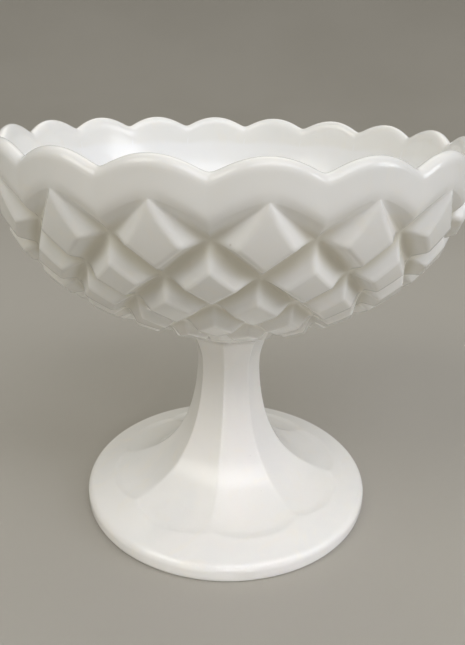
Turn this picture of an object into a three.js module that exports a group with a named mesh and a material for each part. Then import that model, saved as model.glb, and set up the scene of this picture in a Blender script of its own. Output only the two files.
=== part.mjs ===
// Pressed milk glass compote: a scalloped bowl with a diamond point wall,
// joined by a thin glass wafer to an eight panelled pedestal foot.
// Units are millimetres.  The foot rests on z = 0 and +Z is the axis of the bowl.
import * as THREE from 'three';
import { mergeVertices } from 'three/addons/utils/BufferGeometryUtils.js';

const DEG = Math.PI / 180;
const v2 = (r, z) => new THREE.Vector2(r, z);

// Bowl wall, seen in section as radius and height.
const COLUMNS = 18;
const PATTERN_TURN = 6.1 * DEG;
const OUTER_WALL = new THREE.CubicBezierCurve(
  v2(82.8, 144.5), v2(84.7, 88.6), v2(16.4, 78.0), v2(16.4, 75.8));
const INNER_WALL = new THREE.CubicBezierCurve(
  v2(77.6, 140.0), v2(70.9, 97.8), v2(24.0, 83.0), v2(0, 83.0));

// Scalloped lip: a roll that rises in one arch over each column and is deeper on its inside.
const LIP_HALF_WIDTH = 2.6;
const LIP_OUTER_HEIGHT = 3.0;
const LIP_INNER_HEIGHT = 5.4;
const LIP_VALLEY_HEIGHT = 144.4;
const LIP_ARCH_RISE = 3.9;
const LIP_ARCH_FLARE = 0.4;
const LIP_VALLEY_ROUNDING = 0.11;
const LIP_STEPS = 8;
// An even number, so that one ring runs along the very top of the lip.
const LIP_ARC_STEPS = 6;
// How far down the inner wall its rings lie.  The first ring is as fine as the lip.
const INNER_RING_SHARES = [0.05, 0.13, 0.24, 0.36, 0.48, 0.6, 0.72, 0.84];

// Diamond net: distance of each ring of corners down the outer wall, and groove depth there.
const RING_DISTANCE = [6.5, 18.1, 31.1, 43.2, 56.4, 69.4, 81.5, 91.5];
const GROOVE_DEPTH = [0, 4.2, 4.2, 4.0, 3.6, 2.8, 1.9, 0.9];
// Share of a cell taken by the wide flank above the table, and where the table ends.
const TABLE_START = 0.3;
const TABLE_END = 0.8;
// The first row of tables starts from a point, and its upper flanks fan out.
const FIRST_SIDE_NEAR = 0.25;
const FIRST_SIDE_FAR = 0.79;
// Lowest point and roundness of the plain band's edge between two first row diamonds.
const BAND_EDGE_DROP = 6.4;
const BAND_EDGE_POWER = 1.4;
// Plain glass below the last row, and the fillet where it meets the wafer.
const PLAIN_START = 4;
const FILLET_LENGTH = 2;

// Wafer of glass between the two pressings.
const WAFER_BOTTOM = 73.5;
const WAFER_TOP = 75.8;
const WAFER_RADIUS = 16.9;
const WAFER_EDGE = 0.9;
const WAFER_BEVEL = v2(0.2, 0.5);
const WAFER_SEGMENTS = 48;

// Pedestal: eight flat panels that flare out and run into a round foot.
const PANELS = 8;
const PANEL_TURN = -7.25 * DEG;
const PANEL_STEPS = 8;
const STEM_LOWER = new THREE.CubicBezierCurve(
  v2(58.0, 7.9), v2(52.0, 12.8), v2(15.9, 2.1), v2(12.6, 57.0));
const STEM_UPPER = new THREE.CubicBezierCurve(
  v2(12.6, 57.0), v2(12.6, 62.9), v2(12.5, 64.6), v2(16.3, 73.5));
// Part of the lower curve in which a panel may run out into the foot.
const PANEL_END_FROM = 0.08;
const PANEL_END_TO = 0.4;
const STEM_LOWER_STEPS = 12;
const STEM_UPPER_STEPS = 4;
// Rounded edge of the foot, from its sloping top down to the ring that it stands on.
const FOOT_SLOPE = 0.28;
const FOOT_EDGE_UPPER = new THREE.CubicBezierCurve(
  v2(56.4, 7.2), v2(57.9, 6.8), v2(58.9, 5.6), v2(58.9, 4.2));
const FOOT_EDGE_LOWER = new THREE.CubicBezierCurve(
  v2(58.9, 2.1), v2(58.9, 0.9), v2(58.4, 0), v2(57.4, 0));
const FOOT_EDGE_STEPS = 3;
// Hollow under the foot, from the inside of the contact ring to the centre.
const FOOT_HOLLOW = new THREE.CubicBezierCurve(
  v2(52.5, 0), v2(45.0, 7.0), v2(20.0, 11.5), v2(0, 11.5));
const FOOT_HOLLOW_STEPS = 6;

// Collects triangles as bare corner positions and joins equal corners at the end.
class Shell {
  constructor() {
    this.points = [];
  }

  triangle(a, b, c) {
    this.points.push(...a, ...b, ...c);
  }

  quad(a, b, c, d) {
    this.triangle(a, b, c);
    this.triangle(a, c, d);
  }

  // Joins two closed rings with the same number of corners, upper ring first.
  strip(upper, lower) {
    upper.forEach((corner, i) => {
      const next = (i + 1) % upper.length;
      this.quad(corner, lower[i], lower[next], upper[next]);
    });
  }

  // Joins a fine ring to a coarse one with half as many corners below it, facing the axis.
  halvingStrip(fine, coarse) {
    coarse.forEach((corner, i) => {
      const next = coarse[(i + 1) % coarse.length];
      const middle = fine[2 * i + 1];
      const end = fine[(2 * i + 2) % fine.length];
      this.triangle(fine[2 * i], middle, corner);
      this.triangle(corner, middle, next);
      this.triangle(middle, end, next);
    });
  }

  // Closes a ring with a fan around one point on the axis.
  fan(ring, centre) {
    ring.forEach((corner, i) => {
      this.triangle(corner, centre, ring[(i + 1) % ring.length]);
    });
  }

  geometry() {
    const soup = new THREE.BufferGeometry();
    soup.setAttribute('position', new THREE.Float32BufferAttribute(this.points, 3));
    return mergeVertices(soup, 1e-4);
  }
}

// A point on the ring of radius r at height z; turn zero faces -Y and grows towards +X.
const around = (turn, r, z) => [r * Math.sin(turn), -r * Math.cos(turn), z];

const columnTurn = (column) => PATTERN_TURN + column * 2 * Math.PI / COLUMNS;

const lerp = THREE.MathUtils.lerp;

// A point on the outer wall, a distance down from its top and a depth below its surface.
const WALL_LENGTH = OUTER_WALL.getLength();
function wallPoint(column, distance, depth) {
  const share = Math.min(distance / WALL_LENGTH, 1);
  const at = OUTER_WALL.getPointAt(share);
  const along = OUTER_WALL.getTangentAt(share);
  return around(columnTurn(column), at.x + depth * along.y, at.y - depth * along.x);
}

// A point inside one diamond cell.  a grows away from its upper left edge and b away
// from its upper right edge, so (0, 0) is the top corner and (1, 1) the bottom corner.
function cellPoint(row, column, a, b, depth) {
  const ring = Math.min(row + Math.floor(a + b), row + 1);
  const share = row + a + b - ring;
  const distance = lerp(RING_DISTANCE[ring], RING_DISTANCE[ring + 1], share);
  return wallPoint(column + (a - b) / 2, distance, depth);
}

// One diamond: a raised table with four flanks falling to the grooves around it.
function addDiamond(shell, row, column) {
  const top = cellPoint(row, column, 0, 0, GROOVE_DEPTH[row]);
  const left = cellPoint(row, column, 0, 1, GROOVE_DEPTH[row + 1]);
  const right = cellPoint(row, column, 1, 0, GROOVE_DEPTH[row + 1]);
  const bottom = cellPoint(row, column, 1, 1, GROOVE_DEPTH[row + 2]);
  const near = row === 0 ? FIRST_SIDE_NEAR : TABLE_START;
  const far = row === 0 ? FIRST_SIDE_FAR : TABLE_END;
  const peak = row === 0 ? top : cellPoint(row, column, near, near, 0);
  const tableLeft = cellPoint(row, column, near, far, 0);
  const tableRight = cellPoint(row, column, far, near, 0);
  const tableTip = cellPoint(row, column, TABLE_END, TABLE_END, 0);
  if (row > 0) {
    shell.triangle(top, left, peak);
    shell.triangle(top, peak, right);
  }
  shell.triangle(peak, left, tableLeft);
  shell.triangle(peak, tableRight, right);
  shell.quad(tableLeft, left, bottom, tableTip);
  shell.quad(tableTip, bottom, right, tableRight);
  shell.quad(peak, tableLeft, tableTip, tableRight);
}

// Distance down the wall of the plain band's edge.
function bandEdge(column) {
  const fromTop = Math.abs(column - Math.round(column)) * 2;
  return RING_DISTANCE[0] + BAND_EDGE_DROP * Math.pow(fromTop, BAND_EDGE_POWER);
}

// Distance from the middle of a lip valley, softened so that the valley is not a sharp notch.
const fromValley = (distance) => Math.hypot(distance, LIP_VALLEY_ROUNDING) - LIP_VALLEY_ROUNDING;

// Height above the valleys, as a share of the arch, of the lip at one column position.
function archShare(column) {
  const fromTop = Math.abs(column - Math.round(column)) * 2;
  const share = fromValley(1 - fromTop) / fromValley(1);
  return 2 * share - share * share;
}

// One ring of the rounded lip; angle 0 is its outer side and 180 its inner side.
function lipRing(columns, angle) {
  return columns.map((column) => {
    const arch = archShare(column);
    const outer = OUTER_WALL.v0.x + LIP_ARCH_FLARE * (arch - 1);
    const top = LIP_VALLEY_HEIGHT + LIP_ARCH_RISE * arch;
    const height = angle < Math.PI / 2 ? LIP_OUTER_HEIGHT : LIP_INNER_HEIGHT;
    const r = outer - LIP_HALF_WIDTH + LIP_HALF_WIDTH * Math.cos(angle);
    return around(columnTurn(column), r, top - height * (1 - Math.sin(angle)));
  });
}

// One ring of the smooth inner wall; share runs from the lip to the centre.
function innerRing(columns, share) {
  const at = INNER_WALL.getPointAt(share);
  return columns.map((column) => around(columnTurn(column), at.x, at.y));
}

function addDiamondNet(shell) {
  for (let row = 0; row + 2 < RING_DISTANCE.length; row += 1) {
    for (let k = 0; k < COLUMNS; k += 1) {
      addDiamond(shell, row, k + (row % 2) / 2);
    }
  }
}

// The short undercut flank below the plain band, one fan per groove crossing.
function addBandFlank(shell) {
  for (let k = 0; k < COLUMNS; k += 1) {
    const crossing = wallPoint(k + 0.5, RING_DISTANCE[1], GROOVE_DEPTH[1]);
    for (let i = 0; i < LIP_STEPS; i += 1) {
      const from = k + i / LIP_STEPS;
      const to = k + (i + 1) / LIP_STEPS;
      shell.triangle(wallPoint(from, bandEdge(from), 0), crossing, wallPoint(to, bandEdge(to), 0));
    }
  }
}

// The small plain area under the last row, down to the flat that meets the wafer.
function addBowlUnderside(shell) {
  const last = RING_DISTANCE.length - 1;
  const corners = Array.from({ length: 2 * COLUMNS }, (_, i) => i / 2);
  const zigzag = corners.map((column, i) => {
    const ring = i % 2 ? last : last - 1;
    return wallPoint(column, RING_DISTANCE[ring], GROOVE_DEPTH[ring]);
  });
  const plain = corners.map((column) => {
    return wallPoint(column, RING_DISTANCE[last] + PLAIN_START, 0);
  });
  const fillet = corners.map((column) => wallPoint(column, WALL_LENGTH - FILLET_LENGTH, 0));
  const rim = corners.map((column) => wallPoint(column, WALL_LENGTH, 0));
  shell.strip(zigzag, plain);
  shell.strip(plain, fillet);
  shell.strip(fillet, rim);
  shell.fan(rim, [0, 0, OUTER_WALL.v3.y]);
}

function addLipAndBand(shell, columns) {
  const edge = columns.map((column) => wallPoint(column, bandEdge(column), 0));
  const lip = Array.from({ length: LIP_ARC_STEPS + 1 }, (_, i) => {
    return lipRing(columns, i * Math.PI / LIP_ARC_STEPS);
  });
  shell.strip(lip[0], edge);
  for (let i = 0; i < LIP_ARC_STEPS; i += 1) {
    shell.strip(lip[i + 1], lip[i]);
  }
  return lip[LIP_ARC_STEPS];
}

// The smooth inside of the bowl.  It faces the axis, so each strip is listed lower ring first.
function addInnerWall(shell, fine, lipInside) {
  const coarse = fine.filter((column, i) => i % 2 === 0);
  const [firstShare, ...shares] = INNER_RING_SHARES;
  const firstRing = innerRing(fine, firstShare);
  const rings = shares.map((share) => innerRing(coarse, share));
  shell.strip(firstRing, lipInside);
  shell.halvingStrip(firstRing, rings[0]);
  for (let i = 1; i < rings.length; i += 1) {
    shell.strip(rings[i], rings[i - 1]);
  }
  const last = rings[rings.length - 1];
  shell.fan([...last].reverse(), [0, 0, INNER_WALL.v3.y]);
}

function buildBowl() {
  const shell = new Shell();
  const columns = Array.from({ length: COLUMNS * LIP_STEPS }, (_, i) => i / LIP_STEPS);
  const lipInside = addLipAndBand(shell, columns);
  addBandFlank(shell);
  addDiamondNet(shell);
  addBowlUnderside(shell);
  addInnerWall(shell, columns, lipInside);
  return shell.geometry();
}

function buildWafer() {
  const inner = WAFER_RADIUS - WAFER_EDGE;
  const profile = [
    v2(0, WAFER_BOTTOM),
    v2(inner, WAFER_BOTTOM),
    v2(WAFER_RADIUS - WAFER_BEVEL.x, WAFER_BOTTOM + WAFER_BEVEL.y),
    v2(WAFER_RADIUS, (WAFER_BOTTOM + WAFER_TOP) / 2),
    v2(WAFER_RADIUS - WAFER_BEVEL.x, WAFER_TOP - WAFER_BEVEL.y),
    v2(inner, WAFER_TOP),
    v2(0, WAFER_TOP),
  ];
  const disc = new THREE.LatheGeometry(profile, WAFER_SEGMENTS);
  disc.rotateX(Math.PI / 2);
  return disc;
}

// Distance from the axis to a flat panel, for one unit of ridge radius.
function panelShare(turn) {
  const panel = 2 * Math.PI / PANELS;
  const fromRidge = THREE.MathUtils.euclideanModulo(turn - PANEL_TURN, panel);
  return Math.cos(panel / 2) / Math.cos(fromRidge - panel / 2);
}

const footHeight = (r) => FOOT_EDGE_UPPER.v0.y + FOOT_SLOPE * (FOOT_EDGE_UPPER.v0.x - r);

// Where the flared panel runs out into the round foot: a bisection along the stem's outline.
function panelEnd(turn) {
  let inFoot = PANEL_END_FROM;
  let inPanel = PANEL_END_TO;
  for (let i = 0; i < 40; i += 1) {
    const middle = (inFoot + inPanel) / 2;
    const at = STEM_LOWER.getPoint(middle);
    if (at.y > footHeight(at.x * panelShare(turn))) {
      inFoot = middle;
    } else {
      inPanel = middle;
    }
  }
  return inPanel;
}

// The outline of the pedestal at one turn, from the top of the stem to the foot's centre.
function pedestalOutline(turn) {
  const share = panelShare(turn);
  const outline = [];
  for (let i = STEM_UPPER_STEPS; i > 0; i -= 1) {
    const at = STEM_UPPER.getPoint(i / STEM_UPPER_STEPS);
    outline.push(v2(at.x * share, at.y));
  }
  const end = panelEnd(turn);
  for (let i = STEM_LOWER_STEPS; i >= 0; i -= 1) {
    const at = STEM_LOWER.getPoint(lerp(end, 1, i / STEM_LOWER_STEPS));
    outline.push(v2(at.x * share, at.y));
  }
  outline.push(...FOOT_EDGE_UPPER.getPoints(FOOT_EDGE_STEPS));
  outline.push(...FOOT_EDGE_LOWER.getPoints(FOOT_EDGE_STEPS));
  outline.push(...FOOT_HOLLOW.getPoints(FOOT_HOLLOW_STEPS).slice(0, -1));
  return outline;
}

function buildPedestal() {
  const shell = new Shell();
  const count = PANELS * PANEL_STEPS;
  const turns = Array.from({ length: count }, (_, i) => PANEL_TURN + i * 2 * Math.PI / count);
  const outlines = turns.map(pedestalOutline);
  const rings = outlines[0].map((_, row) => {
    return turns.map((turn, i) => around(turn, outlines[i][row].x, outlines[i][row].y));
  });
  for (let row = 0; row + 1 < rings.length; row += 1) {
    shell.strip(rings[row], rings[row + 1]);
  }
  shell.fan(rings[rings.length - 1], [0, 0, FOOT_HOLLOW.v3.y]);
  shell.fan([...rings[0]].reverse(), [0, 0, STEM_UPPER.v3.y]);
  return shell.geometry();
}

function milkGlassPart(name, geometry, colour) {
  const material = new THREE.MeshStandardMaterial({ color: colour, roughness: 0.14, metalness: 0 });
  const mesh = new THREE.Mesh(geometry, material);
  mesh.name = name;
  return mesh;
}

const compote = new THREE.Group();
compote.name = 'milk_glass_compote';
compote.add(milkGlassPart('bowl', buildBowl(), 0xf1f0ea));
compote.add(milkGlassPart('joining_wafer', buildWafer(), 0xecebe4));
compote.add(milkGlassPart('pedestal', buildPedestal(), 0xf0efe9));

export default compote;
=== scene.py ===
"""Looks of a pressed milk glass compote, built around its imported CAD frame.

Shapes are worked out in millimetres, as in the CAD, and turned to metres when a mesh is made.
"""

import math

import bmesh
import bpy
import numpy as np
from mathutils import Matrix, Vector


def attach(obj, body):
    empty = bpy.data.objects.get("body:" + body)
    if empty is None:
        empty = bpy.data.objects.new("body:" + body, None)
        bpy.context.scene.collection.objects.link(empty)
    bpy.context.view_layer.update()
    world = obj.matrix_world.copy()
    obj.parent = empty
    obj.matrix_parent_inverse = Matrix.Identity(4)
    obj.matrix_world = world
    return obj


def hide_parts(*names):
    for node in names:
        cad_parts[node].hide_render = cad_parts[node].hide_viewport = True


MM = 0.001

# Bowl wall, as in the CAD: outlines are (radius, height).
COLUMNS = 18
PATTERN_TURN = math.radians(6.1)
OUTER_WALL = ((82.8, 144.5), (84.7, 88.6), (16.4, 78.0), (16.4, 75.8))
INNER_WALL = ((77.6, 140.0), (70.9, 97.8), (24.0, 83.0), (0.0, 83.0))
LIP_HALF_WIDTH = 2.6
LIP_OUTER_HEIGHT = 3.0
LIP_INNER_HEIGHT = 5.4
LIP_VALLEY_HEIGHT = 144.4
LIP_ARCH_RISE = 3.9
LIP_ARCH_FLARE = 0.4
LIP_VALLEY_ROUNDING = 0.11
RING_DISTANCE = (6.5, 18.1, 31.1, 43.2, 56.4, 69.4, 81.5, 91.5)
GROOVE_DEPTH = (0.0, 4.2, 4.2, 4.0, 3.6, 2.8, 1.9, 0.9)
# Where a diamond's table starts and ends, as a share of its side.
TABLE_START = 0.3
TABLE_END = 0.8
# The side corners of the tables in the first row, which start at the diamond's top.
FIRST_SIDE_NEAR = 0.25
FIRST_SIDE_FAR = 0.79
# The plain band's lower edge is highest above each diamond, and drops between them.
BAND_EDGE_DROP = 6.4
BAND_EDGE_POWER = 1.4
PLAIN_START = 4.0

# How softly the pressed edges are rounded, as a share of the height of the diamond.
RIDGE_ROUNDING = 0.12
TABLE_ROUNDING = 0.07
# The same for the plain band's lower edge, as a share of the way from it to the crossing below.
BAND_ROUNDING = 0.6
# That rounding fades out above each diamond, and a lower number makes it fade later.
BAND_ROUNDING_FADE = 0.2
# Depth over which a groove's bottom is rounded, as a share of the groove's depth.
GROOVE_ROUNDING = 0.24
# How far a diamond's flanks are hollowed: 1 is a flat flank, and more is a deeper cove.
COVE_POWER = 1.2

# Wafer and pedestal, as in the CAD.
WAFER_BOTTOM = 73.5
WAFER_TOP = 75.8
WAFER_RADIUS = 16.9
# How far its rounded edge stands out, as a share of half its thickness.
WAFER_EDGE_BULGE = 0.8
PANELS = 8
PANEL_TURN = math.radians(-7.25)
STEM_LOWER = ((58.0, 7.9), (52.0, 12.8), (15.9, 2.1), (12.6, 57.0))
STEM_UPPER = ((12.6, 57.0), (12.6, 62.9), (12.5, 64.6), (16.3, 73.5))
# A panel's end is looked for between these parameters of STEM_LOWER.
PANEL_END_FROM = 0.08
PANEL_END_TO = 0.4
BISECTIONS = 40
FOOT_SLOPE = 0.28
FOOT_EDGE_UPPER = ((56.4, 7.2), (57.9, 6.8), (58.9, 5.6), (58.9, 4.2))
FOOT_EDGE_LOWER = ((58.9, 2.1), (58.9, 0.9), (58.4, 0.0), (57.4, 0.0))
FOOT_HOLLOW = ((52.5, 0.0), (45.0, 7.0), (20.0, 11.5), (0.0, 11.5))
STEM_RIDGE_ROUNDING = 0.02
# The panels are scooped just before they end in the foot.  The scoop starts CREASE_REACH in from
# a panel's end and deepens towards CREASE_DIP there, but it comes back up over the last part of
# the reach, the share CREASE_STEEP.
CREASE_DIP = 0.52
CREASE_REACH = 11.0
CREASE_STEEP = 0.28

# The inside of the bowl lies further below its wall than this, and the bottom of a groove less,
# as a share of the greatest GROOVE_DEPTH.
DEEPEST_GROOVE = 1.22

# How finely the meshes are cut.  A crowding other than 1 puts steps closer together at one end.
DIAMOND_FLANK_STEPS = np.array([0.0, 0.04, 0.14, 0.3, 0.5, 0.7, 0.86, 1.0])
DIAMOND_TABLE_STEPS = np.array([0.08, 0.19, 0.34, 0.5, 0.66, 0.81, 0.92])
LIP_STEPS = 24
LIP_CROWDING = 1.3
LIP_ARC_STEPS = 16
BAND_STEPS = 12
BAND_CROWDING = 1.3
INSIDE_STEPS = 29
# Shares of the way down the inside: the first and last ring, and where the rings get coarser.
INSIDE_FROM = 0.04
INSIDE_TO = 0.985
INSIDE_HALVED_AT = (0.5, 0.75)
PLAIN_STEPS = (0.35, 0.7, 1.0)
WALL_END_STEPS = 4
BASE_RING_RADII = (12.0, 6.0)
WAFER_SEGMENTS = 128
WAFER_EDGE_STEPS = 12
WAFER_RING_RADII = (5.0, 10.0, 13.0)
PANEL_STEPS = 24
PANEL_CROWDING = 1.5
STEM_UPPER_STEPS = 12
STEM_LOWER_STEPS = 49
STEM_LOWER_CROWDING = 0.8
CONE_STEPS = 8
FOOT_EDGE_UPPER_STEPS = 10
FOOT_EDGE_LOWER_STEPS = 8
FOOT_HOLLOW_STEPS = 15
FOOT_HOLLOW_TO = 0.97
# How finely the wall is sampled to find a point's depth in a groove, and points done at a time.
WALL_SAMPLES = 400
POINTS_AT_ONCE = 5000
# Points closer than this are welded, in metres, and edges shorter than the second are removed.
WELD_DISTANCE = 2e-6
SHORTEST_EDGE = 1e-7

# ---------------------------------------------------------------- curves

def bezier(curve, t):
    """Points of a cubic Bezier curve at parameters t."""
    p = np.array(curve, float)
    t = np.asarray(t, float)[..., None]
    u = 1.0 - t
    return u**3 * p[0] + 3 * u * u * t * p[1] + 3 * u * t * t * p[2] + t**3 * p[3]


class Outline:
    """A curve looked up by the distance along it."""

    def __init__(self, curve, steps=2000):
        self.curve = curve
        self.t = np.linspace(0.0, 1.0, steps + 1)
        points = bezier(curve, self.t)
        pieces = np.linalg.norm(np.diff(points, axis=0), axis=1)
        self.distance = np.concatenate([[0.0], np.cumsum(pieces)])
        self.length = float(self.distance[-1])

    def at(self, distance):
        t = np.interp(distance, self.distance, self.t)
        return bezier(self.curve, t)

    def tangent(self, distance):
        p = np.array(self.curve, float)
        t = np.interp(distance, self.distance, self.t)[..., None]
        u = 1.0 - t
        d = u * u * (p[1] - p[0]) + 2 * u * t * (p[2] - p[1]) + t * t * (p[3] - p[2])
        return d / np.linalg.norm(d, axis=-1, keepdims=True)


def around(turn, r, z):
    """Turn zero faces -Y and grows towards +X."""
    turn, r, z = np.broadcast_arrays(turn, r, z)
    return np.stack([r * np.sin(turn), -r * np.cos(turn), z], axis=-1)


def column_turn(column):
    """Whole columns are the middles of the first row's diamonds."""
    return PATTERN_TURN + np.asarray(column, float) * 2 * math.pi / COLUMNS


WALL = Outline(OUTER_WALL)


def wall_point(column, distance, depth):
    """A point on the outer wall, a distance down from its top and a depth below its surface."""
    column, distance, depth = np.broadcast_arrays(
        np.asarray(column, float), np.asarray(distance, float), np.asarray(depth, float))
    at = WALL.at(distance)
    along = WALL.tangent(distance)
    r = at[..., 0] + depth * along[..., 1]
    z = at[..., 1] - depth * along[..., 0]
    return around(column_turn(column), r, z)


def soft_min(x, y, k):
    """The lower of x and y, rounded where they come within k of each other."""
    k = np.maximum(k, 1e-9)
    near = np.maximum(k - np.abs(x - y), 0.0)
    return np.minimum(x, y) - near * near / (4.0 * k)


def coved(height, depth):
    """A flank's height above the bottom of a groove, hollowed between the bottom and the top."""
    share = np.maximum(height, 0.0) / np.maximum(depth, 1e-9)
    return depth * share**COVE_POWER


def rounded_bottom(height, depth):
    """A height above the bottom of a groove, with the bottom of the groove rounded."""
    k = np.maximum(GROOVE_ROUNDING * depth, 1e-9)
    return height + np.maximum(k - height, 0.0)**2 / (2 * k)


# ---------------------------------------------------------------- mesh building

class Shell:
    """Collects grids of points and welds them into one mesh."""

    def __init__(self):
        self.points = []
        self.faces = []
        self.count = 0

    def add(self, points, faces):
        self.points.append(np.asarray(points, float).reshape(-1, 3))
        self.faces.extend([tuple(i + self.count for i in face) for face in faces])
        self.count += len(self.points[-1])

    def grid(self, points, flip=False, slant=None):
        """A sheet of quads over points[row, column].  Where slant(i, j) is true, a quad starts at
        its next corner, so that it is cut along its other diagonal."""
        rows, columns = points.shape[:2]
        faces = []
        for i in range(rows - 1):
            for j in range(columns - 1):
                a = i * columns + j
                quad = [a, a + columns, a + columns + 1, a + 1]
                if slant is not None and slant(i, j):
                    quad = quad[1:] + quad[:1]
                if flip:
                    quad = [quad[0], quad[3], quad[2], quad[1]]
                faces.append(tuple(quad))
        self.add(points, faces)

    def cap(self, ring, centre, flip=False):
        """Closes a ring of points with triangles to one point."""
        n = len(ring)
        faces = [(i, n, (i + 1) % n) for i in range(n)]
        if flip:
            faces = [face[::-1] for face in faces]
        self.add(np.vstack([ring, [centre]]), faces)

    def halve(self, fine, coarse, flip=False):
        """Joins a closed ring to one with half as many points."""
        n = len(fine)
        faces = []
        for i in range(len(coarse)):
            a, b, c = 2 * i, 2 * i + 1, (2 * i + 2) % n
            d, e = n + i, n + (i + 1) % len(coarse)
            faces += [(a, d, b), (d, e, b), (b, e, c)]
        if flip:
            faces = [face[::-1] for face in faces]
        self.add(np.vstack([fine, coarse]), faces)

    def build(self, name):
        mesh = bpy.data.meshes.new(name)
        mesh.from_pydata((np.vstack(self.points) * MM).tolist(), [], self.faces)
        work = bmesh.new()
        work.from_mesh(mesh)
        bmesh.ops.remove_doubles(work, verts=work.verts, dist=WELD_DISTANCE)
        bmesh.ops.dissolve_degenerate(work, edges=work.edges, dist=SHORTEST_EDGE)
        open_edges = sum(1 for e in work.edges if len(e.link_faces) != 2)
        turned = sum(1 for e in work.edges if len(e.link_faces) == 2 and not e.is_contiguous)
        print(f"{name}: {len(work.faces)} faces, {open_edges} open edges, {turned} turned")
        work.to_mesh(mesh)
        work.free()
        mesh.shade_smooth()
        piece = bpy.data.objects.new(name, mesh)
        bpy.context.scene.collection.objects.link(piece)
        return piece


def closed(points):
    """Repeats the first point of each ring of points[row, column] at its end."""
    return np.concatenate([points, points[:, :1]], axis=1)


# ---------------------------------------------------------------- bowl

# Places along a diamond's side, from 0 to 1: the first flank, the table and the second flank.
SAMPLES = np.concatenate([
    DIAMOND_FLANK_STEPS * TABLE_START,
    TABLE_START + DIAMOND_TABLE_STEPS * (TABLE_END - TABLE_START),
    (1.0 - DIAMOND_FLANK_STEPS * (1.0 - TABLE_END))[::-1]])


def plane_height(base, outward, origin, normal):
    """How far each base point has to go outward to meet a plane."""
    return ((origin - base) @ normal) / (outward @ normal)


def plane_normal(a, b, c):
    """The unit normal of the plane through three points."""
    n = np.cross(b - a, c - a)
    return n / np.linalg.norm(n)


def diamond(row, column):
    """Points of one pressed diamond over the grid of SAMPLES, first index a and second index b."""
    a = SAMPLES[:, None]
    b = SAMPLES[None, :]
    ring = RING_DISTANCE
    top = wall_point(column, ring[row], GROOVE_DEPTH[row])
    left = wall_point(column - 0.5, ring[row + 1], GROOVE_DEPTH[row + 1])
    right = wall_point(column + 0.5, ring[row + 1], GROOVE_DEPTH[row + 1])
    bottom = wall_point(column, ring[row + 2], GROOVE_DEPTH[row + 2])
    near = FIRST_SIDE_NEAR if row == 0 else TABLE_START
    far = FIRST_SIDE_FAR if row == 0 else TABLE_END

    def distance_at(place):
        """Distance down the wall at place a + b, which is 0 at the top and 2 at the bottom."""
        first = np.minimum(np.floor(place), 1).astype(int)
        lower = np.take(ring, row + first)
        upper = np.take(ring, row + first + 1)
        return lower + (upper - lower) * (place - first)

    def at(u, v, depth=0.0):
        return wall_point(column + (u - v) / 2, distance_at(u + v), depth)

    peak = top if row == 0 else at(near, near)
    table_left = at(near, far)
    table_right = at(far, near)
    tip = at(TABLE_END, TABLE_END)

    base = ((1 - a) * (1 - b))[..., None] * top + (a * (1 - b))[..., None] * right
    base = base + ((1 - a) * b)[..., None] * left + (a * b)[..., None] * bottom
    grid_a, grid_b = np.broadcast_arrays(a, b)
    outward = at(grid_a, grid_b) - at(grid_a, grid_b, 1.0)

    table = np.cross(table_right - table_left, peak - tip)
    table /= np.linalg.norm(table)
    upper_left = table_left if row == 0 else peak
    upper_right = table_right if row == 0 else peak
    heights = [
        plane_height(base, outward, top, plane_normal(top, left, upper_left)),
        plane_height(base, outward, top, plane_normal(top, right, upper_right)),
        plane_height(base, outward, bottom, plane_normal(bottom, left, (table_left + tip) / 2)),
        plane_height(base, outward, bottom, plane_normal(bottom, right, (table_right + tip) / 2)),
    ]
    centre = (table_left + table_right + peak + tip) / 4
    flat = plane_height(base, outward, centre, table)
    # The table is straight across, and bulges down its length as the wall does.
    top_end = WALL.at(distance_at(0.0 if row == 0 else 2 * near))
    chord = WALL.at(distance_at(2 * TABLE_END)) - top_end
    chord /= np.linalg.norm(chord)
    from_end = WALL.at(distance_at(grid_a + grid_b)) - top_end
    flat = flat + from_end[..., 1] * chord[0] - from_end[..., 0] * chord[1]

    depth = (1 - a) * (1 - b) * GROOVE_DEPTH[row] + a * b * GROOVE_DEPTH[row + 2]
    depth = depth + (a * (1 - b) + (1 - a) * b) * GROOVE_DEPTH[row + 1]

    def rounded(x, y, amount):
        return soft_min(x, y, amount * (np.abs(x) + np.abs(y)) / 2)

    upper = rounded(coved(heights[0], depth), coved(heights[1], depth), RIDGE_ROUNDING)
    lower = rounded(coved(heights[2], depth), coved(heights[3], depth), RIDGE_ROUNDING)
    flank = rounded(upper, lower, RIDGE_ROUNDING)
    height = np.maximum(rounded(flank, flat, TABLE_ROUNDING), 0.0)
    return base + outward * rounded_bottom(height, depth)[..., None]


def diamond_slant(i, j):
    """Cuts the quads of a diamond along its ridges."""
    last_flank = len(DIAMOND_FLANK_STEPS) - 1
    first_far = len(SAMPLES) - len(DIAMOND_FLANK_STEPS)
    return (i < last_flank) != (j < last_flank) and (i >= first_far) != (j >= first_far)


# Places across one column, closer together in the middle, where two scallops meet.
FROM_VALLEY = np.linspace(0.0, 1.0, LIP_STEPS // 2 + 1)**LIP_CROWDING / 2
SECTOR = np.concatenate([0.5 - FROM_VALLEY[::-1], 0.5 + FROM_VALLEY[1:]])


def band_edge(column):
    """Distance down the wall of the plain band's lower edge."""
    from_top = np.abs(column - np.round(column)) * 2
    return RING_DISTANCE[0] + BAND_EDGE_DROP * from_top**BAND_EDGE_POWER


def arch_share(column):
    """Height of the scalloped lip at one column position, as a share of its rise."""
    from_valley = 1.0 - np.abs(column - np.round(column)) * 2
    soft = np.sqrt(from_valley**2 + LIP_VALLEY_ROUNDING**2) - LIP_VALLEY_ROUNDING
    soft = soft / (math.sqrt(1.0 + LIP_VALLEY_ROUNDING**2) - LIP_VALLEY_ROUNDING)
    return 2 * soft - soft**2


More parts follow.
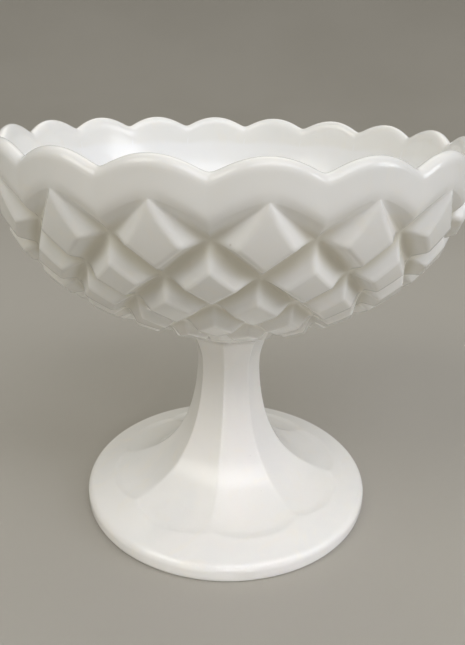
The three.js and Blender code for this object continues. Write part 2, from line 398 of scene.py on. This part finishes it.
def lip_ring(column, angle):
    """The rolled lip at an angle across it: 0 is its outer edge and pi its inner edge."""
    arch = arch_share(column)
    outer = OUTER_WALL[0][0] + LIP_ARCH_FLARE * (arch - 1)
    top = LIP_VALLEY_HEIGHT + LIP_ARCH_RISE * arch
    height = np.where(np.cos(angle) > 0, LIP_OUTER_HEIGHT, LIP_INNER_HEIGHT)
    r = outer - LIP_HALF_WIDTH + LIP_HALF_WIDTH * np.cos(angle)
    return around(column_turn(column), r, top - height * (1 - np.sin(angle)))


def band_dip(u, w):
    """Extra depth that rounds the band's edge; w is 1 on the edge and 0 at the groove crossing."""
    softness = BAND_ROUNDING * np.sin(math.pi * u)**BAND_ROUNDING_FADE
    near = np.maximum(softness - np.abs(1.0 - w), 0.0)
    return GROOVE_DEPTH[1] * near * near / (4.0 * np.maximum(softness, 1e-9))


def outward_at(column, distance):
    """The wall's unit normal, pointing out of the glass."""
    return wall_point(column, distance, 0.0) - wall_point(column, distance, 1.0)


def band_flank():
    """The short undercut flank below the plain band, from the groove crossing to the edge."""
    u = SECTOR[None, :]
    w = (1.0 - SAMPLES)[::-1][:, None]
    apex = wall_point(0.5, RING_DISTANCE[1], GROOVE_DEPTH[1])
    edge = wall_point(u, band_edge(u), 0.0)
    points = apex + (edge - apex) * w[..., None]
    distance = RING_DISTANCE[1] - (RING_DISTANCE[1] - band_edge(u)) * w
    outward = outward_at(0.5 + (u - 0.5) * w, distance)
    reach = RING_DISTANCE[1] - RING_DISTANCE[0]
    above = GROOVE_DEPTH[1] * w * (band_edge(u) - RING_DISTANCE[0]) / reach
    depth = GROOVE_DEPTH[1] * (1 - w)
    lift = rounded_bottom(above, depth) - above
    return points + outward * (lift - band_dip(u, w))[..., None]


def plain_band():
    """The plain band between its lower edge and the lip."""
    u = SECTOR[None, :]
    share = np.linspace(0.0, 1.0, BAND_STEPS + 1)[:, None]**BAND_CROWDING
    edge = band_edge(u)
    start = wall_point(u, edge, 0.0)
    end = lip_ring(u, 0.0)
    spacing = 2 * math.pi * OUTER_WALL[0][0] / COLUMNS
    from_top = 1.0 - np.abs(u - 0.5) * 2
    slope = BAND_EDGE_DROP * BAND_EDGE_POWER * from_top**(BAND_EDGE_POWER - 1) * 2 / spacing
    fan = RING_DISTANCE[1] - edge - np.abs(u - 0.5) * spacing * slope
    rise = (end - start)[..., 2]
    distance = edge - rise * share
    straight = start + (end - start) * share[..., None]
    wall = wall_point(u + 0 * share, np.maximum(distance, 0.0), 0.0)
    points = wall * (1 - share[..., None]) + straight * share[..., None]
    points[..., 2] = straight[..., 2]
    w = 1.0 + rise * share / fan
    outward = outward_at(u + 0 * share, edge + 0 * share)
    return points - outward * band_dip(u + 0 * share, w)[..., None]


def copies(points, shell, **options):
    """Adds one sector's grid once for each column."""
    for k in range(COLUMNS):
        turn = Matrix.Rotation(k * 2 * math.pi / COLUMNS, 3, "Z")
        shell.grid(points @ np.array(turn).T, **options)


def mark_grooves(piece):
    """Stores how deep each point lies in a groove of the wall, from 0 to 1, as "groove".

    Points on the inside of the bowl, below its lip, have -1.
    """
    mesh = piece.data
    places = np.empty(len(mesh.vertices) * 3)
    mesh.vertices.foreach_get("co", places)
    places = places.reshape(-1, 3) / MM
    r = np.hypot(places[:, 0], places[:, 1])
    distances = np.linspace(0.0, WALL.length, WALL_SAMPLES)
    along = WALL.at(distances)
    quarter_turn = np.array([[0.0, -1.0], [1.0, 0.0]])
    inward = WALL.tangent(distances) @ quarter_turn
    share = np.zeros(len(r))
    for first in range(0, len(r), POINTS_AT_ONCE):
        part = slice(first, first + POINTS_AT_ONCE)
        gap = np.stack([r[part], places[part, 2]], axis=-1)[:, None] - along
        nearest = np.argmin(np.sum(gap * gap, axis=-1), axis=1)
        depth = np.sum(gap[np.arange(len(nearest)), nearest] * inward[nearest], axis=-1)
        share[part] = depth / max(GROOVE_DEPTH)
    outside = (share < DEEPEST_GROOVE) & (places[:, 2] < LIP_VALLEY_HEIGHT - LIP_OUTER_HEIGHT)
    inside = ~outside & (places[:, 2] < LIP_VALLEY_HEIGHT - LIP_INNER_HEIGHT)
    share = np.where(outside, np.clip(share, 0.0, 1.0), np.where(inside, -1.0, 0.0))
    # Points marked -1 here get painted light on the inside of the bowl.
    # The material paints shade into the grooves from this depth.
    groove = mesh.attributes.new("groove", "FLOAT", "POINT")
    groove.data.foreach_set("value", share.astype(np.float32))


def add_inside(shell):
    """The plain inside of the bowl, with fewer points to a ring towards the middle."""
    columns = np.concatenate([SECTOR[:-1] + k for k in range(COLUMNS)])
    inside = Outline(INNER_WALL)

    def ring(share, every):
        at = inside.at(share * inside.length)
        return around(column_turn(columns[::every]), at[0], at[1])

    above = lip_ring(columns, math.pi)
    every = 1
    for share in np.linspace(INSIDE_FROM, INSIDE_TO, INSIDE_STEPS + 1):
        wanted = 2**sum(share >= halved_at for halved_at in INSIDE_HALVED_AT)
        below = ring(share, wanted)
        if wanted > every:
            shell.halve(above, below, flip=True)
        else:
            shell.grid(closed(np.stack([above, below])), flip=True)
        above = below
        every = wanted
    shell.cap(above, [0.0, 0.0, INNER_WALL[3][1]], flip=True)


def add_base(shell):
    """Plain glass under the last row of diamonds, down to the flat that meets the wafer."""
    last = len(RING_DISTANCE) - 1
    valley = wall_point(0.0, RING_DISTANCE[last - 1], GROOVE_DEPTH[last - 1])
    crossing = wall_point(0.5, RING_DISTANCE[last], GROOVE_DEPTH[last])
    next_valley = wall_point(1.0, RING_DISTANCE[last - 1], GROOVE_DEPTH[last - 1])
    down = SAMPLES[:, None]
    up = (1.0 - SAMPLES[::-1])[1:, None]
    zigzag = np.vstack([valley + (crossing - valley) * down,
                        crossing + (next_valley - crossing) * up])
    columns = np.concatenate([down[:, 0] / 2, 0.5 + up[:, 0] / 2])
    from_valley = 1.0 - np.abs(columns - 0.5) * 2
    distance = np.interp(from_valley, (0, 1), RING_DISTANCE[last - 1:last + 1])
    depth = np.interp(from_valley, (0, 1), GROOVE_DEPTH[last - 1:last + 1])
    lift = rounded_bottom(0.0, depth)
    zigzag = zigzag + outward_at(columns, distance) * lift[:, None]

    rows = [zigzag]
    plain_start = RING_DISTANCE[last] + PLAIN_START
    plain = wall_point(columns, plain_start, 0.0)
    for share in PLAIN_STEPS:
        rows.append(zigzag + (plain - zigzag) * share)
    for distance in np.linspace(plain_start, WALL.length, WALL_END_STEPS + 1)[1:]:
        rows.append(wall_point(columns, distance, 0.0))
    for r in BASE_RING_RADII:
        rows.append(around(column_turn(columns), r, OUTER_WALL[3][1]))
    copies(np.stack(rows), shell)

    all_columns = np.concatenate([columns[:-1] + k for k in range(COLUMNS)])
    hub = around(column_turn(all_columns), BASE_RING_RADII[-1], OUTER_WALL[3][1])
    shell.cap(hub, [0.0, 0.0, OUTER_WALL[3][1]])


def build_bowl():
    shell = Shell()
    for row in range(len(RING_DISTANCE) - 2):
        copies(diamond(row, (row % 2) / 2), shell, slant=diamond_slant, flip=True)
    copies(band_flank(), shell, flip=True)
    copies(plain_band(), shell, flip=True)
    angles = np.linspace(0.0, math.pi, LIP_ARC_STEPS + 1)[:, None]
    copies(lip_ring(SECTOR[None, :] + 0 * angles, angles), shell, flip=True)
    add_inside(shell)
    add_base(shell)
    bowl = shell.build("bowl_glass")
    mark_grooves(bowl)
    return bowl


# ---------------------------------------------------------------- wafer and pedestal

def lathe(name, outline, segments):
    """A turned piece; the outline starts and ends on the axis."""
    shell = Shell()
    turns = np.arange(segments + 1) * 2 * math.pi / segments
    profile = np.array(outline)
    points = around(turns[None, :], profile[1:-1, 0][:, None], profile[1:-1, 1][:, None])
    shell.grid(points)
    shell.cap(points[0][:-1], [0.0, 0.0, profile[0, 1]], flip=True)
    shell.cap(points[-1][:-1], [0.0, 0.0, profile[-1, 1]])
    return shell.build(name)


def build_wafer():
    """A thin disc with a rounded edge."""
    middle = (WAFER_BOTTOM + WAFER_TOP) / 2
    half_height = (WAFER_TOP - WAFER_BOTTOM) / 2
    angles = np.linspace(math.pi / 2, -math.pi / 2, WAFER_EDGE_STEPS + 1)
    edge = [(WAFER_RADIUS - half_height * WAFER_EDGE_BULGE * (1 - math.cos(a)),
             middle + half_height * math.sin(a)) for a in angles]
    radii = (0.0,) + WAFER_RING_RADII
    top = [(r, WAFER_TOP) for r in radii]
    bottom = [(r, WAFER_BOTTOM) for r in radii[::-1]]
    return lathe("joining_wafer_glass", top + edge + bottom, WAFER_SEGMENTS)


def panel_share(turn):
    """Distance from the axis to a panel, for one unit of ridge radius, with soft ridges."""
    panel = 2 * math.pi / PANELS
    from_ridge = np.mod(turn - PANEL_TURN, panel)
    this_panel = np.cos(from_ridge - panel / 2)
    left_panel = np.cos(from_ridge + panel / 2)
    right_panel = np.cos(from_ridge - 1.5 * panel)
    reach = math.cos(panel / 2)
    share = soft_min(reach / this_panel, reach / left_panel, STEM_RIDGE_ROUNDING)
    return soft_min(share, reach / right_panel, STEM_RIDGE_ROUNDING)


def foot_height(r):
    """Height of the cone of the foot."""
    return FOOT_EDGE_UPPER[0][1] + FOOT_SLOPE * (FOOT_EDGE_UPPER[0][0] - r)


def panel_end(share):
    """Parameter on the lower stem curve where a panel runs out into the round foot."""
    in_foot, in_panel = PANEL_END_FROM, PANEL_END_TO
    for _ in range(BISECTIONS):
        middle = (in_foot + in_panel) / 2
        r, z = bezier(STEM_LOWER, middle)
        if z > foot_height(r * share):
            in_foot = middle
        else:
            in_panel = middle
    return in_panel


def pedestal_outline(turn):
    """The outline at one turn: down the stem, out along the foot, and back in underneath."""
    share = float(panel_share(turn))
    end = panel_end(share)
    upper = bezier(STEM_UPPER, np.linspace(1.0, 0.0, STEM_UPPER_STEPS + 1))[:-1]
    down = np.linspace(0.0, 1.0, STEM_LOWER_STEPS + 1)**STEM_LOWER_CROWDING
    lower = bezier(STEM_LOWER, 1.0 - (1.0 - end) * down)
    stem = np.vstack([upper, lower]) * [share, 1.0]
    crease = stem[-1]
    short = (crease[0] - stem[:, 0]) / CREASE_REACH
    edge_of_dip = np.clip(short / CREASE_STEEP, 0.0, 1.0)
    rest_of_dip = np.clip(1.0 - short, 0.0, 1.0)**2
    stem[:, 1] -= CREASE_DIP * edge_of_dip * rest_of_dip
    top = np.array(FOOT_EDGE_UPPER[0])
    cone = crease + (top - crease) * np.linspace(0.0, 1.0, CONE_STEPS + 1)[1:, None]
    edge_upper = bezier(FOOT_EDGE_UPPER, np.linspace(0.0, 1.0, FOOT_EDGE_UPPER_STEPS + 1))[1:]
    edge_lower = bezier(FOOT_EDGE_LOWER, np.linspace(0.0, 1.0, FOOT_EDGE_LOWER_STEPS + 1))
    hollow = bezier(FOOT_HOLLOW, np.linspace(0.0, FOOT_HOLLOW_TO, FOOT_HOLLOW_STEPS + 1))
    return np.vstack([stem, cone, edge_upper, edge_lower, hollow])


def build_pedestal():
    shell = Shell()
    x = np.linspace(0.0, 1.0, PANEL_STEPS // 2 + 1)**PANEL_CROWDING / 2
    fractions = np.concatenate([x[:-1], (1.0 - x)[::-1]])[:-1]
    turns = np.concatenate([PANEL_TURN + (k + fractions) * 2 * math.pi / PANELS
                            for k in range(PANELS)])
    outlines = np.array([pedestal_outline(turn) for turn in turns])
    points = around(turns[None, :], outlines[:, :, 0].T, outlines[:, :, 1].T)
    shell.grid(closed(points))
    shell.cap(points[0], [0.0, 0.0, STEM_UPPER[3][1]], flip=True)
    shell.cap(points[-1], [0.0, 0.0, FOOT_HOLLOW[3][1]])
    return shell.build("pedestal_glass")


# ---------------------------------------------------------------- material

class Nodes:
    """Short calls for building a node tree."""

    def __init__(self, material):
        self.tree = material.node_tree
        self.nodes = self.tree.nodes
        self.nodes.clear()

    def new(self, kind, **settings):
        """A node; in_Some_Name sets the input "Some Name", and other names set properties."""
        node = self.nodes.new(kind)
        for key, value in settings.items():
            if key.startswith("in_"):
                node.inputs[key[3:].replace("_", " ")].default_value = value
            else:
                setattr(node, key, value)
        return node

    def link(self, source, target):
        self.tree.links.new(source, target)

    def noise(self, place, scale, detail=2.0, rough=0.5, warp=0.0):
        node = self.new("ShaderNodeTexNoise", in_Scale=scale, in_Detail=detail,
                        in_Roughness=rough, in_Distortion=warp)
        self.link(place, node.inputs["Vector"])
        return node.outputs["Fac"]

    def ramp(self, value, low, high, out_low=0.0, out_high=1.0):
        node = self.new("ShaderNodeMapRange", interpolation_type="SMOOTHSTEP")
        node.inputs["From Min"].default_value = low
        node.inputs["From Max"].default_value = high
        node.inputs["To Min"].default_value = out_low
        node.inputs["To Max"].default_value = out_high
        self.link(value, node.inputs["Value"])
        return node.outputs["Result"]

    def mix(self, factor, first, second):
        """Mixes two colours; sockets 6 and 7 are a Mix node's inputs for colours."""
        node = self.new("ShaderNodeMix", data_type="RGBA")
        for value, socket in ((factor, 0), (first, 6), (second, 7)):
            if isinstance(value, (tuple, float, int)):
                node.inputs[socket].default_value = value
            else:
                self.link(value, node.inputs[socket])
        return node.outputs[2]

    def math(self, operation, first, second=None):
        node = self.new("ShaderNodeMath", operation=operation)
        for socket, value in enumerate((first, second)):
            if value is None:
                continue
            if isinstance(value, (float, int)):
                node.inputs[socket].default_value = value
            else:
                self.link(value, node.inputs[socket])
        return node.outputs[0]


def specks(n, place, scale, rarity, size):
    """Rare round specks: 1 in the middle of a speck and 0 outside."""
    cells = n.new("ShaderNodeTexVoronoi", in_Scale=scale, in_Randomness=1.0)
    n.link(place, cells.inputs["Vector"])
    split = n.new("ShaderNodeSeparateColor")
    n.link(cells.outputs["Color"], split.inputs[0])
    chosen = n.math("GREATER_THAN", split.outputs[0], rarity)
    dot = n.ramp(cells.outputs["Distance"], size * 0.4, size, 1.0, 0.0)
    return n.math("MULTIPLY", chosen, dot)


# Base colours, linear.  Each piece's own tint is in PIECES.
THIN_GLASS_SHADE = (0.955, 0.965, 0.975)
WARM_GLASS_SHADE = (1.0, 0.985, 0.95)
# Painted shade, mixed in at the bottoms of the grooves.
GROOVE_SHADE_COLOUR = (0.66, 0.615, 0.47, 1.0)
# Painted light for the inside of the bowl.
INSIDE_LIT_COLOUR = (0.95, 0.955, 0.96, 1.0)
DARK_SPECK = (0.33, 0.29, 0.22, 1.0)
FAINT_SPECK = (0.45, 0.42, 0.36, 1.0)
SCUFFED_GLASS = (0.42, 0.40, 0.36, 1.0)
# How strongly each is mixed in.
WARM_STREAKS = 0.6
DARK_SPECK_TINT = 0.35
FAINT_SPECK_TINT = 0.22
GROOVE_SHADE_AMOUNT = 0.55
INSIDE_LIGHT_AMOUNT = 0.6
SCUFF_TINT = 0.45
# Sizes of the detail, in repeats to a metre.
CLOUD_SCALE = 18.0
SWIRL_SCALE = 55.0
DARK_SPECK_SCALE = 95.0
FAINT_SPECK_SCALE = 210.0
SCUFF_SCALE = 900.0
SMEAR_SCALE = 32.0
WAVE_SCALE = 85.0
FINE_SCALE = 620.0
# The share of cells without a speck, and a speck's radius as a share of its cell.
DARK_SPECK_RARITY = 0.93
DARK_SPECK_SIZE = 0.055
FAINT_SPECK_RARITY = 0.9
FAINT_SPECK_SIZE = 0.07
# Heights over which the scuffs under the foot fade out, in metres.
SCUFF_FROM = 0.0002
SCUFF_TO = 0.0011
POLISHED_ROUGHNESS = 0.15
SMEARED_ROUGHNESS = 0.26
BUMP_HEIGHT = 0.00022
GLASS_IOR = 1.51
SCATTER_WEIGHT = 0.15
SCATTER_RADIUS = (1.0, 0.92, 0.8)
SCATTER_SCALE = 0.0015


def milk_glass(name, tint):
    material = bpy.data.materials.new(name)
    material.use_nodes = True
    n = Nodes(material)
    place = n.new("ShaderNodeTexCoord").outputs["Object"]

    # Faint streaks of denser and thinner white, as the gather folded into the mould.
    cloud = n.noise(place, CLOUD_SCALE, detail=3.0, rough=0.55, warp=1.2)
    swirl = n.noise(place, SWIRL_SCALE, detail=4.0, rough=0.6, warp=2.5)
    dense = tuple(tint) + (1.0,)
    thin = tuple(t * shade for t, shade in zip(tint, THIN_GLASS_SHADE)) + (1.0,)
    warm = tuple(t * shade for t, shade in zip(tint, WARM_GLASS_SHADE)) + (1.0,)
    colour = n.mix(n.ramp(cloud, 0.35, 0.68), dense, thin)
    colour = n.mix(n.math("MULTIPLY", n.ramp(swirl, 0.5, 0.75), WARM_STREAKS), colour, warm)
    dark = specks(n, place, DARK_SPECK_SCALE, DARK_SPECK_RARITY, DARK_SPECK_SIZE)
    faint = specks(n, place, FAINT_SPECK_SCALE, FAINT_SPECK_RARITY, FAINT_SPECK_SIZE)
    colour = n.mix(n.math("MULTIPLY", dark, DARK_SPECK_TINT), colour, DARK_SPECK)
    colour = n.mix(n.math("MULTIPLY", faint, FAINT_SPECK_TINT), colour, FAINT_SPECK)

    # The glass is thinner at the bottom of a groove. There the colour is painted darker and a
    # little olive, as painted shade in the recess.
    groove = n.new("ShaderNodeAttribute", attribute_name="groove").outputs["Fac"]
    colour = n.mix(n.ramp(groove, 0.4, 1.0, 0.0, GROOVE_SHADE_AMOUNT), colour, GROOVE_SHADE_COLOUR)

    # The inside of the bowl, below its lip, is the same glass as the outside, but it is painted
    # whiter and less cream: painted light, for the more neutral light that falls inside it.
    colour = n.mix(n.ramp(groove, -1.0, -0.5, INSIDE_LIGHT_AMOUNT, 0.0), colour, INSIDE_LIT_COLOUR)

    # The ring that the foot stands on is scuffed and a little grey.
    split = n.new("ShaderNodeSeparateXYZ")
    n.link(place, split.inputs[0])
    low = n.ramp(split.outputs["Z"], SCUFF_FROM, SCUFF_TO, 1.0, 0.0)
    patches = n.ramp(n.noise(place, SCUFF_SCALE, detail=3.0, rough=0.7), 0.35, 0.65)
    scuff = n.math("MULTIPLY", low, patches)
    colour = n.mix(n.math("MULTIPLY", scuff, SCUFF_TINT), colour, SCUFFED_GLASS)

    # Gloss: fire polished, with faint smears from handling.
    smear = n.noise(place, SMEAR_SCALE, detail=5.0, rough=0.62, warp=0.8)
    rough = n.ramp(smear, 0.35, 0.75, POLISHED_ROUGHNESS, SMEARED_ROUGHNESS)
    rough = n.math("ADD", rough, n.math("MULTIPLY", scuff, 0.4))
    rough = n.math("ADD", rough, n.math("MULTIPLY", dark, 0.25))

    # Bump: slow waviness of the mould surface, fine texture, pits and scuffs.
    wave = n.noise(place, WAVE_SCALE, detail=1.0)
    fine = n.noise(place, FINE_SCALE, detail=3.0)
    height = n.math("ADD", n.math("MULTIPLY", wave, 0.5), n.math("MULTIPLY", fine, 0.045))
    for mark, depth in ((dark, 0.12), (faint, 0.06), (scuff, 0.25)):
        height = n.math("SUBTRACT", height, n.math("MULTIPLY", mark, depth))
    bump = n.new("ShaderNodeBump", in_Strength=0.5, in_Distance=BUMP_HEIGHT)
    n.link(height, bump.inputs["Height"])

    shader = n.new("ShaderNodeBsdfPrincipled", subsurface_method="RANDOM_WALK", in_IOR=GLASS_IOR,
                   in_Subsurface_Weight=SCATTER_WEIGHT, in_Subsurface_Radius=SCATTER_RADIUS,
                   in_Subsurface_Scale=SCATTER_SCALE)
    n.link(colour, shader.inputs["Base Color"])
    n.link(rough, shader.inputs["Roughness"])
    n.link(bump.outputs["Normal"], shader.inputs["Normal"])
    output = n.new("ShaderNodeOutputMaterial")
    n.link(shader.outputs["BSDF"], output.inputs["Surface"])
    return material


# ---------------------------------------------------------------- studio

# The floor: colours, and the turned-up edge in millimetres.
FLOOR_DARKER = (0.405, 0.385, 0.342, 1.0)
FLOOR_LIGHTER = (0.425, 0.405, 0.362, 1.0)
FLOOR_ROUGHNESS = 0.7
FLOOR_INNER_RADII = (150.0, 400.0, 900.0)
FLOOR_FLAT = 1500.0
FLOOR_SWEEP = 1100.0
FLOOR_SEGMENTS = 96
FLOOR_SWEEP_STEPS = 24


def floor_material():
    material = bpy.data.materials.new("pale_floor")
    material.use_nodes = True
    n = Nodes(material)
    place = n.new("ShaderNodeTexCoord").outputs["Object"]
    tone = n.noise(place, 3.0, detail=4.0)
    colour = n.mix(n.ramp(tone, 0.3, 0.7), FLOOR_DARKER, FLOOR_LIGHTER)
    shader = n.new("ShaderNodeBsdfPrincipled", in_Roughness=FLOOR_ROUGHNESS)
    n.link(colour, shader.inputs["Base Color"])
    output = n.new("ShaderNodeOutputMaterial")
    n.link(shader.outputs["BSDF"], output.inputs["Surface"])
    return material


def build_floor():
    """A round floor that turns up far away, as a studio sweep does on every side."""
    shell = Shell()
    turns = np.arange(FLOOR_SEGMENTS + 1) * 2 * math.pi / FLOOR_SEGMENTS
    flat = [(r, 0.0) for r in FLOOR_INNER_RADII + (FLOOR_FLAT,)]
    sweep = [(FLOOR_FLAT + FLOOR_SWEEP * math.sin(a), FLOOR_SWEEP * (1 - math.cos(a)))
             for a in np.linspace(0, math.pi / 2, FLOOR_SWEEP_STEPS + 1)[1:]]
    profile = np.array(flat + sweep)
    points = around(turns[None, :], profile[:, 0][:, None], profile[:, 1][:, None])
    shell.grid(points)
    shell.cap(points[0][:-1], [0.0, 0.0, 0.0], flip=True)
    floor = shell.build("floor")
    floor.data.materials.append(floor_material())


def add_area(name, place, aim, size, power, colour, spread):
    lamp = bpy.data.lights.new(name, "AREA")
    lamp.shape = "ELLIPSE"
    lamp.size, lamp.size_y = size
    lamp.energy = power
    lamp.color = colour
    lamp.spread = math.radians(spread)
    holder = bpy.data.objects.new(name, lamp)
    holder.location = place
    direction = Vector(aim) - Vector(place)
    holder.rotation_euler = direction.to_track_quat("-Z", "Y").to_euler()
    bpy.context.scene.collection.objects.link(holder)


# A dim sky, brightest overhead.
SKY_LEVEL = 0.02
SKY_OVERHEAD = 0.42
SKY_COLOUR = (1.0, 0.97, 0.9, 1.0)
# Five large soft lamps, and a small narrow one on the foot.  For each: its place and the point
# that it faces, in metres, its two sizes, and its power, colour and spread in degrees.
BOWL_AIM = (0.0, 0.0, 0.08)
SHOULDER_AIM = (0.0, 0.0, 0.1)
FOOT_AIM = (0.0, 0.0, 0.0)
LAMPS = (
    ("key_soft_light", (0.72, -1.36, 1.92), BOWL_AIM, (2.4, 1.2),
     18.6, (0.93, 0.935, 1.0), 180),
    ("left_soft_light", (-1.3, -1.0, 1.6), BOWL_AIM, (1.2, 1.2),
     11.2, (1.0, 0.98, 0.89), 180),
    ("right_soft_light", (1.5, -0.5, 0.7), BOWL_AIM, (0.7, 0.9),
     6.9, (0.91, 0.94, 1.0), 180),
    ("back_soft_light", (0.0, 1.3, 2.0), SHOULDER_AIM, (2.0, 1.2),
     7.0, (1.0, 0.965, 0.88), 180),
    ("top_soft_light", (0.3, -0.6, 2.3), BOWL_AIM, (1.6, 1.0),
     3.4, (0.85, 0.9, 1.0), 180),
    ("foot_soft_light", (0.12, -0.8, 0.26), FOOT_AIM, (0.16, 0.08),
     0.009, (1.0, 0.95, 0.96), 12),
)


def add_lights():
    for settings in LAMPS:
        add_area(*settings)
    world = bpy.data.worlds.new("studio")
    world.use_nodes = True
    n = Nodes(world)
    split = n.new("ShaderNodeSeparateXYZ")
    n.link(n.new("ShaderNodeTexCoord").outputs["Generated"], split.inputs[0])
    above = n.math("MAXIMUM", split.outputs["Z"], 0.0)
    strength = n.math("ADD", n.math("MULTIPLY", above, SKY_OVERHEAD), SKY_LEVEL)
    background = n.new("ShaderNodeBackground", in_Color=SKY_COLOUR)
    n.link(strength, background.inputs["Strength"])
    output = n.new("ShaderNodeOutputWorld")
    n.link(background.outputs[0], output.inputs["Surface"])
    bpy.context.scene.world = world


# Where the camera stands and looks, in millimetres, its roll in radians and its lens.
CAMERA_PLACE = (0.0, -223.46, 163.83)
CAMERA_TARGET = (1.215, 0.0, 75.42)
CAMERA_ROLL = 0.023
CAMERA_LENS = 33.87
CAMERA_SENSOR = 36.0


def add_camera():
    data = bpy.data.cameras.new("camera")
    data.sensor_width = CAMERA_SENSOR
    data.lens = CAMERA_LENS
    holder = bpy.data.objects.new("camera", data)
    place = Vector(CAMERA_PLACE) * MM
    target = Vector(CAMERA_TARGET) * MM
    forward = (target - place).normalized()
    right = forward.cross(Vector((0, 0, 1))).normalized()
    up = right.cross(forward)
    tilted_right = right * math.cos(CAMERA_ROLL) + up * math.sin(CAMERA_ROLL)
    tilted_up = up * math.cos(CAMERA_ROLL) - right * math.sin(CAMERA_ROLL)
    turn = Matrix((tilted_right, tilted_up, -forward)).transposed()
    holder.matrix_world = Matrix.Translation(place) @ turn.to_4x4()
    data.clip_start = 0.01
    bpy.context.scene.collection.objects.link(holder)
    bpy.context.scene.camera = holder


# ---------------------------------------------------------------- scene

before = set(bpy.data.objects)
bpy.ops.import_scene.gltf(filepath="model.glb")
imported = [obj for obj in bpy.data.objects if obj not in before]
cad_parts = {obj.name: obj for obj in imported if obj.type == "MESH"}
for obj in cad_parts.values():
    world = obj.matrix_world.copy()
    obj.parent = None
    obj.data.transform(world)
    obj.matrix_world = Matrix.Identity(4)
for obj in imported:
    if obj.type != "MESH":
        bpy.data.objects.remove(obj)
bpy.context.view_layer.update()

# Each CAD node, what builds the piece that stands for it, and the tint of its glass.
PIECES = (
    ("bowl", build_bowl, (0.912, 0.902, 0.87)),
    ("joining_wafer", build_wafer, (0.895, 0.885, 0.855)),
    ("pedestal", build_pedestal, (0.91, 0.899, 0.868)),
)
for node, build, tint in PIECES:
    piece = build()
    piece.data.materials.append(milk_glass("milk_glass_" + node, tint))
    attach(piece, "root")
    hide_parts(node)

build_floor()
add_lights()
add_camera()
bpy.context.scene.view_settings.view_transform = "Standard"
